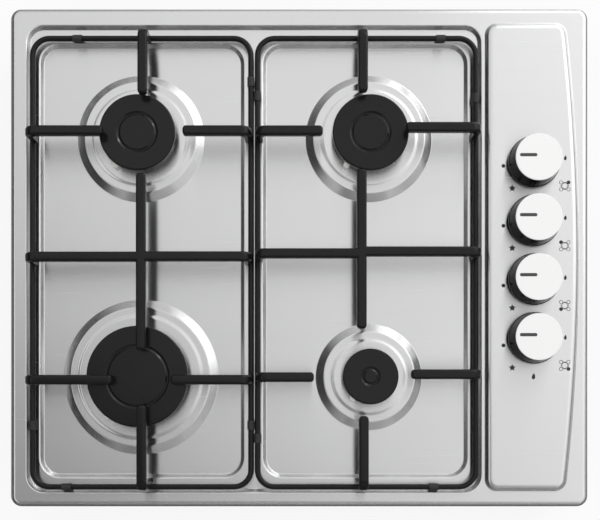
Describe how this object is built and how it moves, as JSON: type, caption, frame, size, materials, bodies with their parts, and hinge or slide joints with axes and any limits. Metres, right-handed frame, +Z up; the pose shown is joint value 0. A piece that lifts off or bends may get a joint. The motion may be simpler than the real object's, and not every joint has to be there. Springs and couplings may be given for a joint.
{
  "type": "gas cooktop",
  "caption": "Built-in rectangular gas cooktop: pressed steel top with flat round burners, rod-framed pan supports and a raised side panel of round knobs.",
  "frame": {"origin": "middle of the underside of the bottom casing, on the surface it stands on", "axes": "+X to the right (the knob side), +Y to the back (the gas inlet side), +Z up"},
  "size_m": [0.58, 0.5, 0.085],
  "materials": {
    "steel_top": "brushed along the width, satin",
    "zinc_steel": "galvanised, dull",
    "foam": "matt closed-cell foam",
    "enamel_black": "satin vitreous enamel",
    "rubber_black": "matt",
    "cast_alloy": "as cast, dull",
    "white_ceramic": "unglazed, smooth",
    "brass": "machined",
    "pipe_alloy": "drawn, satin",
    "bright_steel": "zinc plated, bright",
    "knob_black": "gloss",
    "knob_white": "gloss",
    "lead_silicone": "satin",
    "box_plastic": "matt",
    "terminal_plastic": "matt"
  },
  "bodies": {
    "cooktop": {"hob_top": "steel_top", "bottom_casing": "zinc_steel", "burner_rails": "zinc_steel", "fixing_clips": "zinc_steel", "gas_manifold": "zinc_steel", "worktop_gasket": "foam", "knob_seals": "rubber_black", "rear_left_cup": "cast_alloy", "front_left_cup": "cast_alloy", "rear_right_cup": "cast_alloy", "front_right_cup": "cast_alloy", "rear_left_igniter": "white_ceramic", "front_left_igniter": "white_ceramic", "rear_right_igniter": "white_ceramic", "front_right_igniter": "white_ceramic", "injectors": "brass", "gas_inlet": "brass", "tap_1_body": "brass", "tap_2_body": "brass", "tap_3_body": "brass", "tap_4_body": "brass", "feed_pipes": "pipe_alloy", "pan_head_screws": "bright_steel", "ignition_leads": "lead_silicone", "spark_generator": "box_plastic", "terminal_block": "terminal_plastic"},
    "left_support": {"left_support_ring": "enamel_black", "left_support_fingers": "enamel_black", "left_support_feet": "rubber_black"},
    "right_support": {"right_support_ring": "enamel_black", "right_support_fingers": "enamel_black", "right_support_feet": "rubber_black"},
    "rear_left_cap_lift": {"rear_left_cap": "enamel_black"},
    "rear_left_crown_lift": {"rear_left_crown": "cast_alloy"},
    "front_left_cap_lift": {"front_left_cap": "enamel_black"},
    "front_left_crown_lift": {"front_left_crown": "cast_alloy"},
    "rear_right_cap_lift": {"rear_right_cap": "enamel_black"},
    "rear_right_crown_lift": {"rear_right_crown": "cast_alloy"},
    "front_right_cap_lift": {"front_right_cap": "enamel_black"},
    "front_right_crown_lift": {"front_right_crown": "cast_alloy"},
    "rotor_1": {"tap_1_plug": "brass", "tap_1_spring": "bright_steel"},
    "knob_1": {"tap_1_spindle": "bright_steel", "knob_1_skirt": "knob_black", "knob_1_disc": "knob_white"},
    "rotor_2": {"tap_2_plug": "brass", "tap_2_spring": "bright_steel"},
    "knob_2": {"tap_2_spindle": "bright_steel", "knob_2_skirt": "knob_black", "knob_2_disc": "knob_white"},
    "rotor_3": {"tap_3_plug": "brass", "tap_3_spring": "bright_steel"},
    "knob_3": {"tap_3_spindle": "bright_steel", "knob_3_skirt": "knob_black", "knob_3_disc": "knob_white"},
    "rotor_4": {"tap_4_plug": "brass", "tap_4_spring": "bright_steel"},
    "knob_4": {"tap_4_spindle": "bright_steel", "knob_4_skirt": "knob_black", "knob_4_disc": "knob_white"}
  },
  "joints": [
    {"name": "left_support_off", "type": "slide", "parent": "cooktop", "child": "left_support", "axis": [0, 0, 1], "range_m": [0, 0.08]},
    {"name": "right_support_off", "type": "slide", "parent": "cooktop", "child": "right_support", "axis": [0, 0, 1], "range_m": [0, 0.08]},
    {"name": "rear_left_cap_off", "type": "slide", "parent": "cooktop", "child": "rear_left_cap_lift", "axis": [0, 0, 1], "range_m": [0, 0.04]},
    {"name": "rear_left_crown_off", "type": "slide", "parent": "cooktop", "child": "rear_left_crown_lift", "axis": [0, 0, 1], "range_m": [0, 0.02]},
    {"name": "front_left_cap_off", "type": "slide", "parent": "cooktop", "child": "front_left_cap_lift", "axis": [0, 0, 1], "range_m": [0, 0.04]},
    {"name": "front_left_crown_off", "type": "slide", "parent": "cooktop", "child": "front_left_crown_lift", "axis": [0, 0, 1], "range_m": [0, 0.02]},
    {"name": "rear_right_cap_off", "type": "slide", "parent": "cooktop", "child": "rear_right_cap_lift", "axis": [0, 0, 1], "range_m": [0, 0.04]},
    {"name": "rear_right_crown_off", "type": "slide", "parent": "cooktop", "child": "rear_right_crown_lift", "axis": [0, 0, 1], "range_m": [0, 0.02]},
    {"name": "front_right_cap_off", "type": "slide", "parent": "cooktop", "child": "front_right_cap_lift", "axis": [0, 0, 1], "range_m": [0, 0.04]},
    {"name": "front_right_crown_off", "type": "slide", "parent": "cooktop", "child": "front_right_crown_lift", "axis": [0, 0, 1], "range_m": [0, 0.02]},
    {"name": "tap_1_turn", "type": "hinge", "parent": "cooktop", "child": "rotor_1", "pos_m": [0.2328, 0.0932, 0.028], "axis": [0, 0, 1], "range_deg": [0, 190]},
    {"name": "knob_1_push", "type": "slide", "parent": "rotor_1", "child": "knob_1", "axis": [0, 0, -1], "range_m": [0, 0.003], "stiffness_N_per_m": 1500, "springref_m": -0.002, "deforming": ["tap_1_spring"]},
    {"name": "tap_2_turn", "type": "hinge", "parent": "cooktop", "child": "rotor_2", "pos_m": [0.2328, 0.035, 0.028], "axis": [0, 0, 1], "range_deg": [0, 190]},
    {"name": "knob_2_push", "type": "slide", "parent": "rotor_2", "child": "knob_2", "axis": [0, 0, -1], "range_m": [0, 0.003], "stiffness_N_per_m": 1500, "springref_m": -0.002, "deforming": ["tap_2_spring"]},
    {"name": "tap_3_turn", "type": "hinge", "parent": "cooktop", "child": "rotor_3", "pos_m": [0.2328, -0.0232, 0.028], "axis": [0, 0, 1], "range_deg": [0, 190]},
    {"name": "knob_3_push", "type": "slide", "parent": "rotor_3", "child": "knob_3", "axis": [0, 0, -1], "range_m": [0, 0.003], "stiffness_N_per_m": 1500, "springref_m": -0.002, "deforming": ["tap_3_spring"]},
    {"name": "tap_4_turn", "type": "hinge", "parent": "cooktop", "child": "rotor_4", "pos_m": [0.2328, -0.0814, 0.028], "axis": [0, 0, 1], "range_deg": [0, 190]},
    {"name": "knob_4_push", "type": "slide", "parent": "rotor_4", "child": "knob_4", "axis": [0, 0, -1], "range_m": [0, 0.003], "stiffness_N_per_m": 1500, "springref_m": -0.002, "deforming": ["tap_4_spring"]}
  ],
  "couplings": [
    {"joint": "rear_left_cap_off", "follows": "left_support_off", "ratio": 0.5},
    {"joint": "rear_left_crown_off", "follows": "left_support_off", "ratio": 0.25},
    {"joint": "front_left_cap_off", "follows": "left_support_off", "ratio": 0.5},
    {"joint": "front_left_crown_off", "follows": "left_support_off", "ratio": 0.25},
    {"joint": "rear_right_cap_off", "follows": "right_support_off", "ratio": 0.5},
    {"joint": "rear_right_crown_off", "follows": "right_support_off", "ratio": 0.25},
    {"joint": "front_right_cap_off", "follows": "right_support_off", "ratio": 0.5},
    {"joint": "front_right_crown_off", "follows": "right_support_off", "ratio": 0.25}
  ]
}
